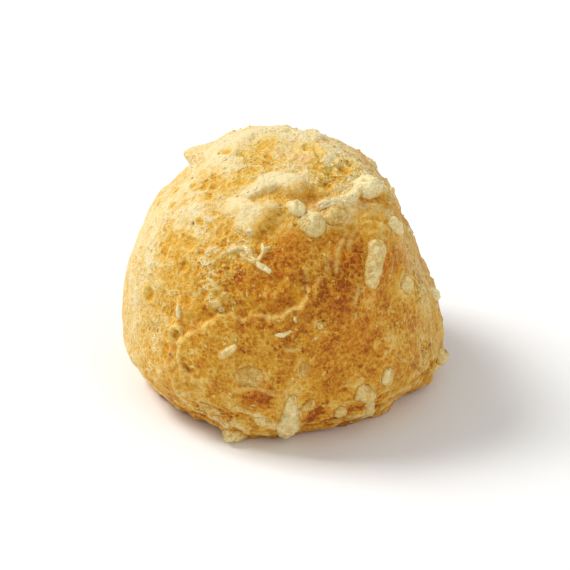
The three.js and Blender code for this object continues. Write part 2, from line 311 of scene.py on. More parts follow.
# Where it is clear amber, partly as painted shade under the front fold, how browned it is there, and where
# it is ruddy: azimuth, fall, spread, amount.
AMBER = [
    (-70, 8, 6, 0.7), (-45, 9, 6, 0.6), (-42, 18, 4, 0.9), (-50, 24, 4, 0.6), (-120, 7, 5, 0.7),
    (-62, 26, 6, 0.4), (-34, 35.5, 3.5, 0.5), (-62, 50, 4, 0.6), (-60.5, 54, 2.5, 0.8),
    (-47.5, 47, 4, 0.6), (-46.5, 54, 2.6, 0.9), (-24.5, 49.5, 2.6, 0.9), (-45, 60, 7, 0.5),
    (-38, 67, 5, 0.6), (-27, 59.5, 3, 0.8), (-13.8, 60.3, 3, 0.9), (4.6, 56.5, 4, 0.7),
    (-5, 57, 4, 0.5), (-61.5, 69, 3, 0.6), (108, 7.6, 2.6, 1.0), (97, 9.4, 1.6, 1.0),
    (73, 19.5, 3, 0.8), (47, 13, 2.6, 0.7), (44, 19.5, 3, 0.7), (86, 21, 3, 0.6), (102, 27, 3, 0.7),
    # (-6, 22.5) and (5, 21.4) are partly painted shade under the front fold.
    (-6, 22.5, 3.5, 0.5), (5, 21.4, 2.0, 0.5), (-85, 38, 2, 0.7), (-74, 41, 1.6, 0.6),
    (-96, 17, 2, 0.7), (-5, 34, 5, 0.4), (25, 24, 6, 0.4),
]
AMBER_BAKE = 0.45
RUDDY = [
    (4, 38, 4, 0.6), (-2.5, 42, 3, 0.5), (-7.5, 46, 3, 0.6), (-4, 50, 5, 0.5), (-18, 53.5, 4, 0.6),
    (31, 47, 5, 0.6), (51, 53, 6, 0.6), (23, 60, 6, 0.5), (-10.3, 88, 4.5, 0.5), (9.6, 100, 5, 0.6),
    (86, 103, 1.8, 0.8), (-45, 82.5, 4, 0.45), (31, 95, 5, 0.5), (57, 32, 5, 0.6), (22, 25, 4, 0.6),
    (30, 70, 14, 0.3), (120, 40, 10, 0.4), (150, 74, 8, 0.5), (-150, 50, 7, 0.4), (-136, 92, 8, 0.5),
    (55, 7, 3, 0.6), (-5, 57, 4, 0.4), (40, 62, 5, 0.5), (38, 80, 6, 0.2), (95, 86, 6, 0.5),
]
# Dark specks and crevices: azimuth, fall, radius in degrees. The three at a fall of 116 to 119 are painted
# shadow in the gap under the front foot.
SPECKS_AND_SHADE = [
    (-52, 40, 0.6), (80, 69.8, 1.0), (92, 73, 0.7), (-35.1, 83.4, 0.6), (-13.8, 75.4, 0.5),
    (15, 65.5, 0.5), (71, 88.7, 0.6), (25, 69, 0.5), (-62, 106, 0.6), (28, 82, 0.5), (-4.5, 82, 0.5),
    (0.5, 70.5, 0.5), (22, 84, 0.5), (44, 74, 0.5), (-120, 70, 0.6), (140, 60, 0.6), (-3.3, 118, 1.6),
    (-6, 119, 1.2), (-9.5, 116, 0.9), (84.6, 99.0, 1.5),
]

# The cheese on the crust, which has a section of its own below: route of bearings, half width and
# height in mm, bluntness of the ends, boxiness of the section, and how toasted it is.
SHREDS = [
    ([(46.8, 45.6), (44.6, 49.4), (41.6, 53.0), (39, 56.4), (37.4, 59.4)], 1.42, 1.0, 4.4, 3.0, 0.4),
    ([(-22.4, 77.7), (-20.0, 75.6), (-17.6, 73.6)], 0.52, 0.5, 3.0, 2.6, 0.3),
    ([(-44.4, 66.6), (-43.6, 70.6)], 0.42, 0.4, 2.6, 2.4, 0.1),
    ([(-12.4, 47.0), (-9.0, 48.2), (-5.8, 49.4)], 0.36, 0.5, 5.0, 4.0, 0.0),
    ([(-11.6, 46.2), (-10.6, 43.6), (-10.2, 42.0), (-10.8, 40.0)], 0.26, 0.45, 3.0, 3.0, 0.2),
    ([(-10.2, 42.4), (-8.0, 41.6), (-6.4, 40.8)], 0.24, 0.4, 3.0, 3.0, 0.2),
    ([(-27.5, 45.4), (-23.0, 43.2), (-18.5, 42.6)], 0.38, 0.4, 2.2, 2.4, 0.3),
    ([(-21.0, 41.6), (-17.0, 43.4), (-13.4, 46.4)], 0.34, 0.4, 2.2, 2.4, 0.2),
    ([(-21.0, 44.8), (-17.0, 46.2), (-13.0, 47.0)], 0.28, 0.35, 2.2, 2.4, 0.4),
    ([(24.0, 26.4), (32.0, 26.6), (41.0, 28.4)], 0.6, 0.8, 3.0, 2.4, 0.1),
    ([(25.5, 28.0), (32.5, 28.2), (39.0, 29.6)], 0.4, 0.6, 3.0, 2.4, 0.15),
    ([(-3.4, 69.8), (-0.5, 69.2), (2.8, 68.2)], 0.22, 0.3, 2.4, 2.4, 0.1),
    ([(4.0, 63.6), (4.4, 65.4)], 0.20, 0.25, 2.4, 2.4, 0.3),
    ([(-29.5, 63.0), (-27.0, 61.8), (-24.5, 61.6)], 0.45, 0.3, 2.4, 2.4, 0.7),
    ([(-26.5, 63.8), (-24.0, 63.0)], 0.35, 0.25, 2.4, 2.4, 0.6),
    ([(128, 44), (136, 47), (141, 52)], 0.9, 0.8, 3.0, 2.6, 0.4),
    ([(-176, 66), (-170, 71), (-171, 77)], 0.6, 0.6, 3.0, 2.6, 0.3),
    ([(-132, 58), (-126, 57), (-121, 60)], 0.45, 0.5, 3.0, 3.0, 0.3),
    ([(152, 92), (158, 90), (164, 92)], 0.5, 0.5, 3.0, 2.6, 0.6),
    ([(106, 62), (109, 66)], 0.35, 0.4, 3.0, 2.6, 0.3),
    ([(-146, 70), (-143, 76), (-145, 83)], 0.7, 0.7, 3.0, 2.6, 0.4),
    ([(156, 52), (163, 55), (171, 54)], 0.55, 0.6, 3.0, 2.6, 0.3),
    ([(-160, 38), (-152, 41), (-144, 41)], 0.5, 0.5, 3.0, 2.6, 0.2),
]
DRIPS = [
    ([(3.0, 86.6), (2.6, 91.0), (2.2, 98.0), (2.0, 106.0)], 1.15, 0.8, 2.6, 2.4, 0.35),
    ([(1.9, 92.0), (2.0, 97.0), (1.7, 106.0), (1.7, 120.0)], 1.7, 1.0, 2.6, 2.4, 0.35),
    ([(4.0, 91.6), (6.4, 91.6), (9.0, 91.2), (12.0, 90.2)], 0.8, 0.4, 2.6, 2.4, 0.75),
    ([(21.2, 94.0), (22.0, 99.0), (23.0, 105.0)], 1.05, 0.6, 2.1, 2.2, 0.55),
    ([(-31.0, 93.6), (-28.0, 97.0), (-24.8, 101.0)], 0.85, 0.6, 2.4, 2.2, 0.7),
    ([(-8.6, 97.0), (-8.1, 100.0), (-7.8, 104.0)], 1.3, 0.5, 2.1, 2.2, 0.45),
    ([(26.8, 89.6), (29.4, 90.2), (32.2, 92.2), (34.2, 95.2)], 1.2, 0.6, 3.2, 2.4, 0.5),
    ([(32.6, 93.4), (34.4, 98.0), (35.4, 106.0), (35.6, 116.0)], 0.85, 0.6, 3.0, 2.4, 0.5),
    ([(40.0, 108.0), (41.0, 117.0)], 0.5, 0.5, 2.4, 2.4, 1.3),
    ([(-20.5, 110.0), (-19.9, 116.0), (-19.5, 122.5)], 1.8, 1.4, 2.2, 2.2, 0.35),
    ([(-18.0, 91.6), (-14.6, 93.6), (-11.4, 94.8)], 0.8, 0.45, 2.4, 2.2, 0.65),
    ([(-150, 106), (-150, 121)], 1.3, 1.1, 2.2, 2.2, 0.4),
    ([(118, 100), (120, 108), (119, 118)], 0.9, 0.8, 2.4, 2.4, 0.5),
    ([(160, 104), (163, 112), (162, 119)], 0.7, 0.7, 2.4, 2.4, 0.6),
]
# Bits as wide as they are long: azimuth, fall, turn from level in degrees, then half length,
# half width and height in mm, boxiness, and how toasted.
NUGGETS = [
    (8.5, 26.6, 0, 1.5, 1.3, 0.7, 3.2, 0.25),
    (17.6, 33.2, 20, 2.2, 1.7, 0.6, 2.2, 0.4),
    (32.5, 31.8, -10, 2.3, 1.4, 1.1, 2.6, 0.6),
    (65.0, 29.4, 0, 2.2, 2.0, 1.8, 2.2, 0.05),
    (51.5, 28.4, 10, 1.8, 0.8, 0.6, 2.2, 0.25),
    (78.0, 37.5, -10, 1.6, 0.7, 0.5, 2.4, 0.35),
    (61.5, 45.6, -55, 1.9, 0.95, 0.9, 2.2, 0.15),
    (62.7, 41.3, 0, 0.5, 0.4, 0.5, 2.0, 0.3),
    (58.0, 64.6, 0, 1.2, 1.1, 0.6, 2.2, 0.45),
    (89.0, 80.4, 75, 1.1, 0.8, 0.95, 2.2, 0.1),
    (82.5, 101.0, 84, 2.3, 1.7, 0.6, 2.2, 0.45),
    (7.6, 80.0, -70, 1.2, 0.8, 0.2, 2.6, 0.9),
    (13.6, 67.0, 0, 0.6, 0.5, 0.25, 2.2, 0.6),
    (40.6, 87.6, -80, 1.3, 1.0, 0.45, 2.2, 0.5),
    (-12.2, 82.4, 4, 2.5, 1.0, 0.3, 2.2, 0.7),
    (-34.0, 103.0, -35, 1.2, 0.5, 0.35, 2.2, 0.7),
    (172, 46, 20, 1.9, 1.4, 0.8, 2.2, 0.4),
    (-150, 84, 60, 1.6, 1.1, 0.6, 2.2, 0.6),
    (-128, 40, 0, 1.3, 1.0, 0.5, 2.2, 0.3),
    (136, 84, -30, 1.5, 1.0, 0.5, 2.2, 0.6),
    (118, 36, 10, 1.2, 1.0, 0.7, 2.2, 0.3),
    (-108, 78, 70, 1.0, 0.7, 0.4, 2.2, 0.4),
    (-172, 98, 0, 1.2, 0.9, 0.5, 2.2, 0.6),
    (178, 22, 30, 1.0, 0.8, 0.5, 2.2, 0.3),
    (-140, 55, 20, 1.5, 1.2, 0.6, 2.2, 0.35),
    (148, 66, -40, 1.7, 1.0, 0.6, 2.4, 0.5),
    (-163, 56, 10, 1.3, 1.2, 0.7, 2.2, 0.3),
    (164, 33, 40, 2.0, 1.1, 0.8, 2.2, 0.3),
    (-141, 98, 80, 1.3, 0.9, 0.5, 2.2, 0.6),
    (104, 84, -20, 1.6, 1.0, 0.5, 2.2, 0.6),
    (130, 60, 70, 1.1, 0.7, 0.5, 2.2, 0.4),
    (-104, 92, 30, 1.4, 0.9, 0.4, 2.2, 0.6),
    (174, 104, 10, 1.8, 0.9, 0.5, 2.2, 0.6),
]
NUGGET_BLUNTNESS = 2.1
SUNK = 0.55     # mm, how far a bit of cheese goes down into the crust
HALO = 1.8      # how many of its half widths the crust rises around a bit


def bearings(azimuth, fall):
    """Unit directions. The azimuth turns from the front (-Y) towards +X, and the fall tips from
    the crown (0 degrees) past the widest line (90 degrees)."""
    turn, tip = np.radians(azimuth), np.radians(fall)
    return np.stack([np.sin(turn) * np.sin(tip), -np.cos(turn) * np.sin(tip), np.cos(tip)], -1)


def unit(vectors):
    """Vectors scaled to length one."""
    return vectors / np.linalg.norm(vectors, axis=-1, keepdims=True)


def puffed_box(cells):
    """The six square grids of a box, merged along their edges. Each coordinate is spread by
    tan(quarter turn x coordinate), so that the cells keep an even angle, and made unit long."""
    step = np.arange(cells + 1)
    across, along = np.meshgrid(step, step, indexing="ij")
    number = np.arange((cells + 1) ** 2).reshape(cells + 1, cells + 1)
    ring = [number[:-1, :-1], number[1:, :-1], number[1:, 1:], number[:-1, 1:]]
    points, quads = [], []
    for side, (axis, level) in enumerate(product(range(3), (0, cells))):
        grid = np.empty((cells + 1, cells + 1, 3), int)
        grid[..., axis] = level
        grid[..., (axis + 1) % 3] = across
        grid[..., (axis + 2) % 3] = along
        corners = np.stack(ring if level else ring[::-1], -1).reshape(-1, 4)
        points.append(grid.reshape(-1, 3))
        quads.append(corners + side * (cells + 1) ** 2)
    merged, where = np.unique(np.concatenate(points), axis=0, return_inverse=True)
    return unit(np.tan((merged / cells * 2 - 1) * np.pi / 4)), where.reshape(-1)[np.concatenate(quads)]


def straight_route(azimuth, fall, turn, half_length):
    """A route through a bearing: the bearings half a length away on either side, in a direction
    that is turned from level."""
    reach = np.degrees(half_length / GIRTH_RADIUS)
    sideways = reach * np.cos(np.radians(turn)) / np.sin(np.radians(fall))
    upward = reach * np.sin(np.radians(turn))
    return [(azimuth - sideways, fall + upward), (azimuth, fall), (azimuth + sideways, fall - upward)]


NUGGETS = [
    (straight_route(azimuth, fall, turn, half_length), half_width, height, NUGGET_BLUNTNESS, boxy, toast)
    for azimuth, fall, turn, half_length, half_width, height, boxy, toast in NUGGETS
]


def bell(distance, spread, power=2):
    """exp(-(distance / spread) ^ power): one at no distance, falling off past the spread."""
    return np.exp(-np.abs(distance / spread) ** power)


def degrees_from(directions, azimuth, fall):
    """The angle from each direction to one bearing, from the chord between them."""
    chord = np.linalg.norm(directions - bearings(azimuth, fall), axis=-1)
    return np.degrees(2 * np.arcsin(np.clip(chord / 2, 0, 1)))


def smooth_route(route, steps=6):
    """A Catmull-Rom curve through a few bearings, made unit long again."""
    knots = bearings(*np.array(route, float).T)
    knots = np.vstack([2 * knots[0] - knots[1], knots, 2 * knots[-1] - knots[-2]])
    a, b, c, d = (knots[i:len(knots) - 3 + i, None] for i in range(4))
    t = np.linspace(0, 1, steps, endpoint=False)[None, :, None]
    curve = 0.5 * (2 * b + (c - a) * t + (2 * a - 5 * b + 4 * c - d) * t**2
                   + (3 * b - a - 3 * c + d) * t**3)
    return unit(np.vstack([curve.reshape(-1, 3), knots[-2]]))


def place_by_route(directions, route):
    """For each direction, the degrees to the nearest point of a route, positive on its lower
    side, and how far along the route that point is, from 0 to 1."""
    line = smooth_route(route)
    nearest = np.full(len(directions), np.inf)
    along = np.zeros(len(directions))
    side = np.ones(len(directions))
    for number, (start, end) in enumerate(zip(line[:-1], line[1:])):
        step = end - start
        share = np.clip((directions - start) @ step / (step @ step), 0, 1)
        away = directions - start - share[:, None] * step
        distance = np.linalg.norm(away, axis=1)
        closer = distance < nearest
        nearest[closer] = distance[closer]
        along[closer] = (number + share[closer]) / (len(line) - 1)
        side[closer] = np.sign(away[closer] @ np.cross(step, start))
    return np.degrees(nearest) * side, along


def hashed(cell, table, seed):
    """A number from the table for each lattice cell, by looking its three indices up in turn."""
    size = len(table)
    first = table[(cell[..., 0] + seed) % size]
    second = table[(first + cell[..., 1]) % size]
    return table[(second + cell[..., 2]) % size]


def hills(points, size, seed=0):
    """Gradient noise, about -1 to 1, its hills `size` apart: each corner of a cubic lattice has a
    random slope, and the slopes' heights are blended by 6t^5 - 15t^4 + 10t^3."""
    random = np.random.default_rng(11)
    slopes = unit(random.normal(size=(256, 3)))
    table = random.permutation(256)
    scaled = points / size
    cell = np.floor(scaled).astype(int)
    part = scaled - cell
    blend = part**3 * (part * (6 * part - 15) + 10)
    total = np.zeros(points.shape[:-1])
    for corner in product((0, 1), repeat=3):
        slope = slopes[hashed(cell + corner, table, seed)]
        weight = np.prod(np.where(corner, blend, 1 - blend), axis=-1)
        total += weight * ((part - corner) * slope).sum(-1)
    return total * 1.7


def ridges(points, size, seed=0):
    """Noise folded at zero, 1 - 2|hills|: thin raised threads between rounded hollows."""
    return 1 - 2 * np.abs(hills(points, size, seed))


def webs(points, size, seed=0):
    """A net of raised threads around open hollows: a spot is strewn in each cell of a cubic
    lattice, and a thread, exp(-(difference / 0.24)^2), runs where the nearest two are equally
    far."""
    random = np.random.default_rng(12)
    spots = random.random((256, 3))
    table = random.permutation(256)
    scaled = points / size
    cell = np.floor(scaled).astype(int)
    part = scaled - cell
    nearest = np.full(points.shape[:-1], 9.0)
    second = nearest.copy()
    for step in product((-1, 0, 1), repeat=3):
        spot = step + spots[hashed(cell + step, table, seed)]
        distance = np.linalg.norm(part - spot, axis=-1)
        second = np.minimum(second, np.maximum(nearest, distance))
        nearest = np.minimum(nearest, distance)
    return bell(second - nearest, 0.24)


def drawn_out(points, direction, times):
    """Points squeezed along a direction, so that noise read from them is that much longer."""
    direction = unit(np.array(direction, float))
    return points - (1 - 1 / times) * (points @ direction)[..., None] * direction


def dome(directions):
    """A squared-off ellipsoid, its radius and height raised to 2 / squareness, and its normal."""
    power = 2 / SQUARENESS
    reach = np.maximum(np.hypot(directions[:, 0], directions[:, 1]), 1e-6)
    upright = directions[:, 2]
    radius = GIRTH_RADIUS * reach ** (power - 1)
    depth = np.where(upright > 0, RISE, DROP)
    points = np.stack([
        radius * directions[:, 0],
        radius * directions[:, 1],
        np.sign(upright) * np.abs(upright) ** power * depth,
    ], -1)
    normals = unit(points / np.array([GIRTH_RADIUS, GIRTH_RADIUS, RISE]) ** 2)
    return points + [0, 0, GIRTH_HEIGHT], normals


def swell(directions):
    """The dough's large unevenness in mm: the lobes' bells, and sine waves along directions on a
    spiral from pole to pole."""
    height = np.zeros(len(directions))
    for azimuth, fall, spread, size in LOBES:
        height += size * bell(degrees_from(directions, azimuth, fall), spread)
    for number in range(WAVE_COUNT):
        level = 1 - 2 * (number + 0.5) / WAVE_COUNT
        reach = np.sqrt(1 - level**2)
        axis = np.array([reach * np.cos(2.4 * number), reach * np.sin(2.4 * number), level])
        swing = np.sin((FIRST_PITCH + number) * (directions @ axis) + 1.7 * number)
        height += WAVE_HEIGHT / np.sqrt(WAVE_COUNT) * swing
    return height


def most(directions, patches):
    """The strongest of some patches' bells at each direction: azimuth, fall, spread, amount."""
    strongest = np.zeros(len(directions))
    for azimuth, fall, spread, amount in patches:
        strongest = np.maximum(strongest, amount * bell(degrees_from(directions, azimuth, fall), spread))
    return strongest


def crust_marks(directions):
    """What the oven did to the skin, with some painted shade: its relief in mm, and by name how baked,
    floury, amber, ruddy and speckled it is, each from 0 to 1. The bake holds painted shade in the groove
    above each crack and, in part, under the front fold, and the specks hold painted shadow in the gap under
    the front foot. A slow wobble of the bearings keeps every mark from having a clean edge, and the grain
    is drawn out where the dough was."""
    sphere = directions * GIRTH_RADIUS
    wobble = np.stack([hills(sphere, 4.0, seed) + 0.6 * hills(sphere, 1.7, seed) for seed in (1, 2, 3)], -1)
    fine_wobble = np.stack([hills(sphere, 0.9, seed) for seed in (14, 15, 16)], -1)
    bent = unit(directions + 0.022 * wobble + 0.008 * fine_wobble)
    less_bent = unit(directions + 0.010 * wobble + 0.006 * fine_wobble)
    relief = 0.28 * hills(sphere, 7.0, 4) + 0.24 * hills(sphere, 3.4, 5)
    bake = PLAIN_BAKE + 0.10 * hills(sphere, 2.6, 51)
    flour = np.zeros(len(directions))

    # A crack's lower side stands up, with a groove above it and a torn, floury edge between, and the skin
    # above the step is darkened as painted shade in the groove.
    for route in CRACKS:
        off, along = place_by_route(less_bent, route)
        fade = np.clip(np.minimum(along, 1 - along) * 10, 0, 1)
        off = off + 0.45 * hills(sphere, 0.8, 18) + 0.8 * hills(sphere, 1.9, 19)
        broken = np.clip(0.7 + 1.1 * hills(sphere, 1.6, 9), 0.1, 1)
        step = bell(np.maximum(off, 0), 6) / (1 + np.exp(-off / 0.25))
        relief += fade * (CRACK_STEP * step - CRACK_DEPTH * bell(off + 1.6, 1.8))
        lip = fade * broken * bell(off - 0.3, 0.6)
        relief += CRACK_LIP * lip
        flour += lip
        # Painted shade: browner in the groove above the step.
        bake += 0.12 * fade * bell(off + 2.6, 2.8)

    # Threads are broken here and there, and fade at both ends.
    for route, height, half_width in THREADS:
        off, along = place_by_route(less_bent, route)
        broken = np.clip(0.75 + 1.0 * hills(sphere, 1.4, 17), 0.1, 1.1)
        thread = broken * np.clip(np.minimum(along, 1 - along) * 6, 0, 1) * bell(off, half_width)
        relief += height * thread
        flour += 0.7 * thread

    # Where tongues and folds overlap, the highest one counts.
    raised = np.zeros(len(directions))
    smooth = np.zeros(len(directions))
    for azimuth, fall, radius, height in TONGUES:
        tongue = bell(degrees_from(less_bent, azimuth, fall), radius, 8)
        raised = np.maximum(raised, height * tongue)
        smooth = np.maximum(smooth, tongue)
    for route, heights, half_widths in FOLDS:
        off, along = place_by_route(less_bent, route)
        welt = bell(off, np.interp(along, (0, 1), half_widths), 6)
        raised = np.maximum(raised, np.interp(along, (0, 1), heights) * welt)
        smooth = np.maximum(smooth, min(1, max(heights)) * welt)
    relief += raised
    bake -= 0.21 * smooth

    # A pit has a floor of thin amber skin inside a floury rim.
    amber = most(bent, AMBER)
    for azimuth, fall, radius, depth, rim in PITS:
        off = degrees_from(less_bent, azimuth, fall)
        hollow = bell(off, radius, 4)
        ring = bell(off - 1.35 * radius, max(0.35 * radius, 0.7))
        relief += rim * ring - 0.8 * depth * hollow
        amber = np.maximum(amber, hollow)
        flour += 2.4 * rim * ring

    blister = np.zeros(len(directions))
    for azimuth, fall, radius in BLISTERS:
        blister = np.maximum(blister, bell(degrees_from(bent, azimuth, fall), radius, 4))
    hollow = np.zeros(len(directions))
    for azimuth, fall, radius in HOLLOWS:
        hollow = np.maximum(hollow, bell(degrees_from(bent, azimuth, fall), radius, 4))
    relief += 0.16 * blister - 0.16 * hollow
    bake -= 0.16 * blister
    amber = np.maximum(amber, 0.7 * hollow)

    # Amber skin has a browning of its own, whatever is around it.
    for azimuth, fall, spread, change in BROWNING:
        bake += change * bell(degrees_from(bent, azimuth, fall), spread)
    bake += 0.8 * amber * (AMBER_BAKE - bake)

    # The crust swells around each bit of cheese, and stays paler there.
    for route, half_width, height, *_ in SHREDS + NUGGETS + DRIPS:
        off, _ = place_by_route(bent, route)
        around = bell(off, np.degrees(half_width / GIRTH_RADIUS) * HALO, 3)
        relief += 0.3 * height * around
        bake -= 0.16 * around

    # Dark specks, and painted shadow in the gap under the front foot.
    specks_and_shade = np.zeros(len(directions))
    for azimuth, fall, radius in SPECKS_AND_SHADE:
        dark_spot = bell(degrees_from(less_bent, azimuth, fall), radius, 3)
        specks_and_shade = np.maximum(specks_and_shade, dark_spot)
        relief -= 0.35 * radius * dark_spot

    # Rough patches are nets of threads, and the foot is lumpy, with browner hollows.
    leaning = sphere + 0.5 * wobble
    grain = 0.09 * hills(sphere, 1.7, 6)
    rough = np.full(len(directions), PLAIN_ROUGH)
    for number, (azimuth, fall, spread, amount, way) in enumerate(ROUGH):
        share = amount * bell(degrees_from(bent, azimuth, fall), spread, 3)
        near = share > 0.02
        long = drawn_out(leaning[near], way, 1.8)
        net = 0.26 * webs(long, 2.5, 20 + number) + 0.10 * ridges(long, 1.5, 40 + number) - 0.1
        grain[near] += share[near] * net
        rough = np.maximum(rough, share)
    foot = 1 / (1 + np.exp((sphere[:, 2] + 2) / 1.5))
    lumpy = hills(sphere, 2.8, 61)
    relief += grain * (1 - 0.6 * smooth) + 0.55 * foot * lumpy
    bake -= 0.5 * grain + 0.45 * foot * lumpy
    return relief, dict(bake=bake, flour=flour, amber=amber, ruddy=most(bent, RUDDY),
                        specks_and_shade=specks_and_shade, rough=rough * (1 - 0.6 * smooth))


def skin(directions, relief):
    """Points of the crust: the dome moved out along its normal by the swell and the relief, drawn
    out at the tip, and flattened by the tray with a soft edge: s ln(1 + exp(z / s))."""
    points, normals = dome(directions)
    points = points + normals * (swell(directions) + relief)[:, None]
    points += bell(degrees_from(directions, *TIP[:2]), TIP[2])[:, None] * TIP_PULL
    points[:, 2] = TRAY_ROUNDING * np.logaddexp(0, points[:, 2] / TRAY_ROUNDING)
    return points, normals


even, crust_quads = puffed_box(CRUST_CELLS)
directions = unit(even + [0, 0, CROWD_UP])
relief, marks = crust_marks(directions)

# The underside lay on the tray and is browned.
raw_points, _ = dome(directions)
under = 1 / (1 + np.exp((raw_points[:, 2] - 0.6) / 0.5))
marks["bake"] += 0.7 * under * (0.9 - marks["bake"])

points, _ = skin(directions, relief)
low, high = points.min(0), points.max(0)
box_low, box_high = (np.array(corner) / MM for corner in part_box("puff"))
stretch = (box_high - box_low) / (high - low)


def fitted(points):
    """Points moved and stretched, by about a hundredth at most, so that the crust fills the CAD box."""
    return box_low + (points - low) * stretch


def mesh_piece(name, points, faces, **attributes):
    """A smooth-shaded mesh object from points in mm, with one float attribute for each name."""
    mesh = bpy.data.meshes.new(name)
    corners = faces.shape[1]
    mesh.vertices.add(len(points))
    mesh.vertices.foreach_set("co", (points * MM).astype(np.float32).ravel())
    mesh.loops.add(faces.size)
    mesh.loops.foreach_set("vertex_index", faces.astype(np.int32).ravel())
    mesh.polygons.add(len(faces))
    mesh.polygons.foreach_set("loop_start", np.arange(0, faces.size, corners, dtype=np.int32))
    mesh.update(calc_edges=True)
    mesh.validate()
    for key, values in attributes.items():
        layer = mesh.attributes.new(key, "FLOAT", "POINT")
        layer.data.foreach_set("value", values.astype(np.float32))
    mesh.polygons.foreach_set("use_smooth", np.ones(len(faces), bool))
    piece = bpy.data.objects.new(name, mesh)
    bpy.context.collection.objects.link(piece)
    return piece


def colour(red, green, blue):
    """An everyday colour, 0 to 255, as the linear light that shaders work in."""
    level = np.array([red, green, blue]) / 255
    return (*np.where(level < 0.04045, level / 12.92, ((level + 0.055) / 1.055) ** 2.4), 1.0)


def new_material(name):
    """An empty node material, and its node tree."""
    material = bpy.data.materials.new(name)
    material.use_nodes = True
    material.node_tree.nodes.clear()
    return material, material.node_tree


def add(tree, kind, inputs=(), **settings):
    """One shader node with its settings, and each input a value or another node's output."""
    node = tree.nodes.new(kind)
    for key, value in settings.items():
        setattr(node, key, value)
    for key, value in dict(inputs).items():
        if isinstance(value, bpy.types.NodeSocket):
            tree.links.new(value, node.inputs[key])
        else:
            node.inputs[key].default_value = value
    return node


def combine(tree, operation, *values):
    """The output of a Math node."""
    return add(tree, "ShaderNodeMath", dict(enumerate(values)), operation=operation).outputs[0]


def blend(tree, share, first, second, way="MIX"):
    """The output of a Mix node between two colours."""
    inputs = {0: share, 6: first, 7: second}
    return add(tree, "ShaderNodeMix", inputs, data_type="RGBA", blend_type=way).outputs[2]


def ramp(tree, factor, stops):
    """The output of a colour ramp with (position, colour) stops."""
    node = add(tree, "ShaderNodeValToRGB", {"Fac": factor})
    elements = node.color_ramp.elements
    while len(elements) < len(stops):
        elements.new(0.5)
    for element, (position, shade) in zip(elements, stops):
        element.position = position
        element.color = shade
    return node.outputs["Color"]


def baked_grain():
    """Shader group: the finest relief of baked surfaces. A net of curled threads, strongest where
    it is rough, lies over uneven grains, and now and then there is a crumb or a pore. Sizes are in
    mm. Puts out the height, its swing about the middle, and the pores."""
    group = bpy.data.node_groups.new("baked grain", "ShaderNodeTree")
    group.interface.new_socket("Place", in_out="INPUT", socket_type="NodeSocketVector")
    for name in ("Size", "Thread", "Rough", "Grains", "Flecks", "Pores"):
        group.interface.new_socket(name, in_out="INPUT", socket_type="NodeSocketFloat")
    for name in ("Height", "Swing", "Pores"):
        group.interface.new_socket(name, in_out="OUTPUT", socket_type="NodeSocketFloat")
    entry = group.nodes.new("NodeGroupInput").outputs

    def per_size(times):
        return combine(group, "DIVIDE", times, entry["Size"])

    def noise(times):
        return add(group, "ShaderNodeTexNoise", {
            "Vector": entry["Place"], "Scale": per_size(times), "Detail": 1.0,
        }).outputs

    def vector(operation, inputs):
        return add(group, "ShaderNodeVectorMath", inputs, operation=operation).outputs[0]

    drift = vector("SUBTRACT", {0: noise(0.7)["Color"], 1: (0.5, 0.5, 0.5)})
    drift = vector("SCALE", {0: drift, "Scale": combine(group, "MULTIPLY", entry["Size"], 1.6)})
    bent = vector("ADD", {0: entry["Place"], 1: drift})
    net = add(group, "ShaderNodeTexVoronoi", {"Vector": bent, "Scale": per_size(0.8)},
              feature="DISTANCE_TO_EDGE").outputs["Distance"]
    reach = combine(group, "MULTIPLY", entry["Thread"], per_size(0.8))
    threads = add(group, "ShaderNodeMapRange", {
        "Value": net, "From Min": 0.0, "From Max": reach, "To Min": 1.0, "To Max": 0.0,
    }, interpolation_type="SMOOTHSTEP").outputs["Result"]
    crests = combine(group, "POWER", threads, 2.0)
    patchy = combine(group, "MULTIPLY_ADD", noise(0.35)["Fac"], 2.6, -0.8)
    net_share = combine(group, "MULTIPLY", entry["Rough"], patchy)
    coarser = combine(group, "MULTIPLY_ADD", entry["Rough"], 1.2, 0.7)
    coarser = combine(group, "MULTIPLY", coarser, entry["Grains"])
    grains = combine(group, "SUBTRACT", noise(1.6)["Fac"], 0.5)
    grains = combine(group, "MULTIPLY", grains, coarser)
    raised = combine(group, "MULTIPLY_ADD", combine(group, "SUBTRACT", threads, 0.35), net_share, grains)
    swing = combine(group, "MULTIPLY_ADD", combine(group, "SUBTRACT", crests, 0.4), net_share, grains)

    spots = add(group, "ShaderNodeTexVoronoi", {"Vector": bent, "Scale": per_size(1.1)}).outputs
    fleck = add(group, "ShaderNodeMapRange", {
        "Value": spots["Distance"], "From Min": 0.15, "From Max": 0.38, "To Min": 1.0, "To Max": 0.0,
    }, interpolation_type="SMOOTHSTEP").outputs["Result"]
    pick = add(group, "ShaderNodeSeparateColor", {"Color": spots["Color"]}).outputs[1]
    fleck = combine(group, "MULTIPLY", fleck, combine(group, "LESS_THAN", pick, entry["Flecks"]))
    raised = combine(group, "MULTIPLY_ADD", fleck, 0.5, raised)
    swing = combine(group, "MULTIPLY_ADD", fleck, 0.9, swing)

    cells = add(group, "ShaderNodeTexVoronoi", {"Vector": entry["Place"], "Scale": per_size(0.6)}).outputs
    dot = add(group, "ShaderNodeMapRange", {
        "Value": cells["Distance"], "From Min": 0.10, "From Max": 0.16, "To Min": 1.0, "To Max": 0.0,
    }).outputs["Result"]
    pick = add(group, "ShaderNodeSeparateColor", {"Color": cells["Color"]}).outputs[0]
    pores = combine(group, "MULTIPLY", dot, combine(group, "LESS_THAN", pick, entry["Pores"]))
    leave = group.nodes.new("NodeGroupOutput").inputs
    height = combine(group, "SUBTRACT", combine(group, "ADD", raised, 0.5), pores)
    for name, value in (("Height", height), ("Swing", swing), ("Pores", pores)):
        group.links.new(value, leave[name])
    return group


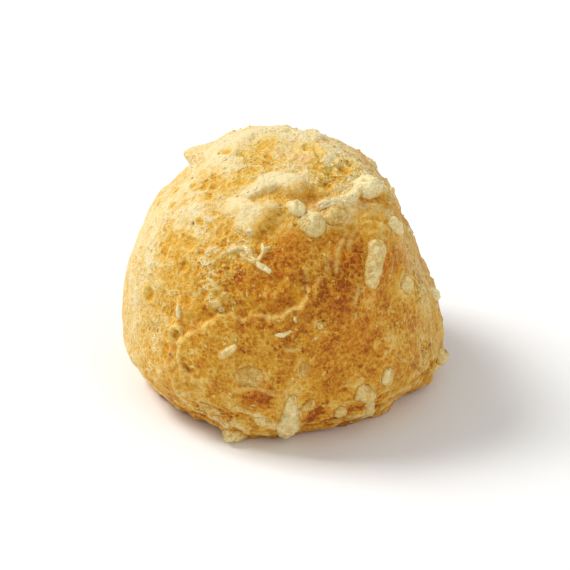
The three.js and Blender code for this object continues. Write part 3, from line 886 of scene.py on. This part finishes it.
def place_in_mm(tree):
    """The spot on the object in mm, for patterns to read."""
    place = add(tree, "ShaderNodeTexCoord").outputs["Object"]
    return add(tree, "ShaderNodeVectorMath", {0: place, "Scale": 1 / MM}, operation="SCALE").outputs[0]


def grained(tree, size, thread, rough, grains, flecks, pores):
    """The outputs of the baked-grain group at one size."""
    return add(tree, "ShaderNodeGroup", {
        "Place": place_in_mm(tree), "Size": size, "Thread": thread, "Rough": rough, "Grains": grains,
        "Flecks": flecks, "Pores": pores,
    }, node_tree=grain_group).outputs


grain_group = baked_grain()
crust = mesh_piece("crust", fitted(points), crust_quads, **marks)

material, tree = new_material("baked crust")
place = place_in_mm(tree)
mark = {name: add(tree, "ShaderNodeAttribute", attribute_name=name).outputs["Fac"] for name in marks}
strands = grained(tree, 2.4, 0.5, mark["rough"], 0.0, 0.0, 0.0)
coarse = grained(tree, 1.1, 0.36, mark["rough"], 1.0, 0.12, 0.05)
less_rough = combine(tree, "MULTIPLY", mark["rough"], 0.6)
fine = grained(tree, 0.45, 0.14, less_rough, 1.0, 0.12, 0.05)
blotch = add(tree, "ShaderNodeTexNoise", {"Vector": place, "Scale": 0.33, "Detail": 3.0}).outputs["Fac"]
islands = add(tree, "ShaderNodeTexNoise", {
    "Vector": place, "Scale": 0.8, "Detail": 2.0, "Distortion": 0.6,
}).outputs["Fac"]
islands = add(tree, "ShaderNodeMapRange", {
    "Value": islands, "From Min": 0.44, "From Max": 0.58, "To Min": -0.5, "To Max": 0.5,
}, interpolation_type="SMOOTHSTEP").outputs["Result"]
browning = combine(tree, "MULTIPLY_ADD", combine(tree, "SUBTRACT", blotch, 0.5), 0.22, mark["bake"])
browning = combine(tree, "MULTIPLY_ADD", islands, 0.08, browning)
browning = combine(tree, "MULTIPLY_ADD", strands["Swing"], -0.46, browning)
browning = combine(tree, "MULTIPLY_ADD", coarse["Swing"], -0.52, browning)
browning = combine(tree, "MULTIPLY_ADD", fine["Swing"], -0.38, browning)
shade = ramp(tree, browning, [
    (0.00, colour(236, 218, 168)),
    (0.18, colour(233, 206, 144)),
    (0.36, colour(228, 188, 104)),
    (0.54, colour(220, 166, 54)),
    (0.70, colour(205, 141, 36)),
    (0.84, colour(190, 117, 22)),
    (1.00, colour(156, 80, 12)),
])
shade = blend(tree, mark["amber"], shade, (0.94, 0.80, 0.28, 1), "MULTIPLY")
shade = blend(tree, mark["ruddy"], shade, (0.98, 0.68, 0.50, 1), "MULTIPLY")
shade = blend(tree, combine(tree, "MULTIPLY", mark["flour"], 0.8), shade, colour(246, 215, 120))
gloss = add(tree, "ShaderNodeMapRange", {
    "Value": browning, "To Min": 0.62, "To Max": 0.40,
}).outputs["Result"]
# Dark specks and pores, and painted shadow in the gap under the front foot, which the specks mark carries.
dark = combine(tree, "MAXIMUM", mark["specks_and_shade"], combine(tree, "MULTIPLY", coarse["Pores"], 0.5))
shade = blend(tree, dark, shade, colour(96, 54, 14))
height = combine(tree, "MULTIPLY_ADD", fine["Height"], 0.5, coarse["Height"])
height = combine(tree, "MULTIPLY_ADD", strands["Height"], 0.7, height)
bump = add(tree, "ShaderNodeBump", {"Height": height, "Strength": 1.0, "Distance": 0.28 * MM})
surface = add(tree, "ShaderNodeBsdfPrincipled", {
    "Base Color": shade,
    "Roughness": gloss,
    "Normal": bump.outputs["Normal"],
    "Specular IOR Level": 0.16,
})
add(tree, "ShaderNodeOutputMaterial", {"Surface": surface.outputs["BSDF"]})
crust.data.materials.append(material)

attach(crust, "root")
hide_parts("puff")


# ---------------------------------------------------------------------------------------------
# The cheese: coarse-grated shreds, nuggets and melted drips, stuck to the paste before baking and
# half sunk in the crust. Each is a lump drawn along a short route over the crust, and crumbs of
# the same cheese lie scattered where the crust is rough.
# ---------------------------------------------------------------------------------------------
RINGS = 30              # rings of points along a bit
SIDES = 32              # points round each ring
FLARE = 0.35            # how much wider a bit is where it has melted into the crust
GROOVE_COUNT = 7        # lengthwise grooves that the grater leaves round a shred
CRUMB_COUNT = 140
CRUMB_RINGS = 7
CRUMB_SIDES = 8
CRUMB_ROUNDNESS = 2.2   # of its ends and its section, as bluntness and boxiness


def lines_of(bits, rings):
    """Each bit's route as a row of unit directions, closer together towards its ends."""
    share = (1 - np.cos(np.linspace(0, np.pi, rings + 2))) / 2
    lines = []
    for route, *_ in bits:
        line = smooth_route(route, 16)
        length = np.concatenate([[0], np.cumsum(np.linalg.norm(np.diff(line, axis=0), axis=1))])
        lines.append(np.stack([np.interp(share * length[-1], length, line[:, i]) for i in range(3)], -1))
    return unit(np.array(lines))


def lumps(name, lines, half_width, height, blunt, boxy, sides, ragged, toast, grooves=0.0):
    """Lumps on the crust, each a grid of rings along its line. A ring's radius is (1 - |2u - 1|^blunt)^(1 /
    blunt), and its section a superellipse as wide as the lump, from the sunk depth below the crust to the
    height above it. Noise bends them by `ragged` mm and pits their tops, and a cosine round the section
    grooves them. They are toasted by their own amount, by the crust's browning at their edges, and where
    the crust's specks mark is dark, which includes the painted shadow under the front foot."""
    count, rows = lines.shape[:2]
    u = (1 - np.cos(np.linspace(0, np.pi, rows))) / 2
    v = np.linspace(0, 2 * np.pi, sides, endpoint=False)
    half_width, height, blunt, boxy = (
        np.reshape(each, (-1, 1, 1)) for each in (half_width, height, blunt, boxy))
    radius = (1 - np.abs(2 * u[None, :, None] - 1) ** blunt) ** (1 / blunt)
    round_x = np.sign(np.cos(v)) * np.abs(np.cos(v)) ** (2 / boxy)
    round_y = np.sign(np.sin(v)) * np.abs(np.sin(v)) ** (2 / boxy)
    round_x = round_x * (1 + FLARE * np.minimum(1, 0.6 / height) * (1 - np.abs(round_y)) ** 2)
    ahead = unit(np.gradient(lines, axis=1))
    aside = np.cross(lines, ahead)
    across = (half_width / GIRTH_RADIUS * radius * round_x)[..., None] * aside[:, :, None]
    ways = unit(lines[:, :, None] + across)
    lift = radius * np.where(round_y > 0, height, SUNK * np.minimum(1, height / 0.5)) * round_y
    # One point is kept at each end, and every ring between.
    keep = np.concatenate([[0], np.arange(sides, (rows - 1) * sides), [rows * sides - 1]])
    ways = ways.reshape(count, rows * sides, 3)[:, keep]
    lift = lift.reshape(count, rows * sides)[:, keep]
    share = lift / height[..., 0]

    # Each bit reads its noise from a place of its own.
    apart = 7.3 * np.arange(count)[:, None, None]
    spot = ways * GIRTH_RADIUS + apart
    bend = np.stack([hills(spot, 1.6, seed) + 0.5 * hills(spot, 0.7, seed) for seed in (31, 32, 33)], -1)
    ways = unit(ways + ragged / GIRTH_RADIUS * bend)
    uneven = hills(spot, 1.1, 34) + 0.6 * hills(spot, 0.55, 35)
    ripple = np.tile(np.cos(GROOVE_COUNT * v), rows)[None, keep]
    lift = np.where(lift > 0, lift * (1 + 0.45 * uneven + grooves * ripple), lift)

    flat = ways.reshape(-1, 3)
    relief, around = crust_marks(flat)
    points, normals = skin(flat, relief)
    points = points + normals * lift.reshape(-1, 1)
    points[:, 2] = np.maximum(points[:, 2], 0.02)

    number = np.arange((rows - 2) * sides).reshape(rows - 2, sides) + 1
    after = np.roll(number, -1, axis=1)
    last = (rows - 2) * sides + 1
    faces = np.concatenate([
        np.stack([number[:-1], number[1:], after[1:]], -1).reshape(-1, 3),
        np.stack([number[:-1], after[1:], after[:-1]], -1).reshape(-1, 3),
        np.stack([np.zeros(sides, int), number[0], after[0]], -1),
        np.stack([np.full(sides, last), after[-1], number[-1]], -1),
    ])
    faces = (faces + (np.arange(count) * (last + 1))[:, None, None]).reshape(-1, 3)
    crust_brown = np.clip(1.3 * around["bake"] - 0.25, 0, 1).reshape(share.shape)
    browned = np.clip(1 - share, 0, 1) ** 2 * crust_brown - 0.3 * uneven + np.reshape(toast, (-1, 1))
    # Darker where the crust's specks are, the painted shadow under the front foot included.
    browned += around["specks_and_shade"].reshape(share.shape)
    piece = mesh_piece(name, fitted(points), faces, toast=browned.ravel())
    piece.data.materials.append(cheese)
    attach(piece, "root")
    return piece


cheese, tree = new_material("baked cheese")
toast = add(tree, "ShaderNodeAttribute", attribute_name="toast").outputs["Fac"]
fine = grained(tree, 0.6, 0.19, 0.5, 1.0, 0.1, 0.35)
toasted = combine(tree, "MULTIPLY_ADD", fine["Swing"], -0.5, toast)
shade = ramp(tree, toasted, [
    (0.00, colour(246, 229, 176)),
    (0.35, colour(236, 210, 144)),
    (0.70, colour(222, 182, 98)),
    (1.00, colour(200, 146, 56)),
])
shade = blend(tree, combine(tree, "MULTIPLY", fine["Pores"], 0.35), shade, colour(150, 104, 44))
bump = add(tree, "ShaderNodeBump", {"Height": fine["Height"], "Strength": 0.9, "Distance": 0.25 * MM})
surface = add(tree, "ShaderNodeBsdfPrincipled", {
    "Base Color": shade,
    "Roughness": 0.42,
    "Normal": bump.outputs["Normal"],
    "Subsurface Weight": 0.12,
    "Subsurface Radius": (0.0018, 0.0012, 0.0005),
    "Subsurface Scale": 1.0,
    "Specular IOR Level": 0.22,
})
add(tree, "ShaderNodeOutputMaterial", {"Surface": surface.outputs["BSDF"]})

# Each kind of bit, how far in mm it is bent, and how deep its grooves are as a share of its height.
KINDS = [
    ("cheese_shreds", SHREDS, 0.22, 0.14),
    ("cheese_nuggets", NUGGETS, 0.24, 0.0),
    ("cheese_drips", DRIPS, 0.3, 0.0),
]
for name, bits, ragged, grooves in KINDS:
    half_widths, heights, blunts, boxes, toasts = np.array([bit[1:] for bit in bits]).T
    lumps(name, lines_of(bits, RINGS), half_widths, heights, blunts, boxes, SIDES, ragged, toasts,
          grooves)

# Crumbs, more of them where it is rough, each a short curl in a way of its own.
random = np.random.default_rng(5)
spots = unit(random.normal(size=(CRUMB_COUNT * 12, 3)))
chance = 0.04 + most(spots, [patch[:4] for patch in ROUGH])
chance[spots[:, 2] < np.cos(np.radians(112))] = 0
spots = spots[random.random(len(spots)) < chance][:CRUMB_COUNT]
ways = unit(np.cross(spots, random.normal(size=spots.shape)))
half_length = random.uniform(0.15, 0.4, len(spots))
reach = (half_length / GIRTH_RADIUS)[:, None, None] * np.linspace(-1, 1, CRUMB_RINGS + 2)[:, None]
lines = unit(spots[:, None] + reach * ways[:, None])
wide = random.uniform(0.14, 0.26, len(spots))
lumps("cheese_crumbs", lines, wide, 0.9 * wide, CRUMB_ROUNDNESS, CRUMB_ROUNDNESS, CRUMB_SIDES,
      0.2, random.uniform(0.4, 1.0, len(spots)))


# ---------------------------------------------------------------------------------------------
# The floor and the light: a pale matt floor, a broad soft lamp high on the left, and a white
# room all round.
# ---------------------------------------------------------------------------------------------
FLOOR_HALF = 3.0
floor_mesh = bpy.data.meshes.new("floor")
floor_mesh.from_pydata([
    (-FLOOR_HALF, -FLOOR_HALF, cad_low[2]), (FLOOR_HALF, -FLOOR_HALF, cad_low[2]),
    (FLOOR_HALF, FLOOR_HALF, cad_low[2]), (-FLOOR_HALF, FLOOR_HALF, cad_low[2]),
], [], [(0, 1, 2, 3)])
floor = bpy.data.objects.new("floor", floor_mesh)
bpy.context.collection.objects.link(floor)
material, tree = new_material("pale floor")
surface = add(tree, "ShaderNodeBsdfPrincipled", {"Base Color": colour(246, 246, 245), "Roughness": 0.9})
add(tree, "ShaderNodeOutputMaterial", {"Surface": surface.outputs["BSDF"]})
floor.data.materials.append(material)


def soft_lamp(name, azimuth, elevation, distance, size, power):
    """A square area lamp that faces the puff from an azimuth and elevation in degrees, with its
    distance and size in metres and its power in watts."""
    light = bpy.data.lights.new(name, "AREA")
    light.size = size
    light.energy = power
    lamp = bpy.data.objects.new(name, light)
    turn, rise = np.radians(azimuth), np.radians(elevation)
    towards = Vector((np.sin(turn) * np.cos(rise), -np.cos(turn) * np.cos(rise), np.sin(rise)))
    lamp.location = aim + towards * distance
    lamp.rotation_euler = towards.to_track_quat("Z", "Y").to_euler()
    bpy.context.collection.objects.link(lamp)
    return lamp


soft_lamp("key", -110, 50, 1.0, 0.4, 8.0)
soft_lamp("fill", 50, 30, 1.2, 0.8, 2.6)

world = bpy.data.worlds.new("room")
world.use_nodes = True
world.node_tree.nodes["Background"].inputs["Color"].default_value = (1, 1, 1, 1)
world.node_tree.nodes["Background"].inputs["Strength"].default_value = 0.52
bpy.context.scene.world = world
bpy.context.scene.view_settings.view_transform = "Standard"
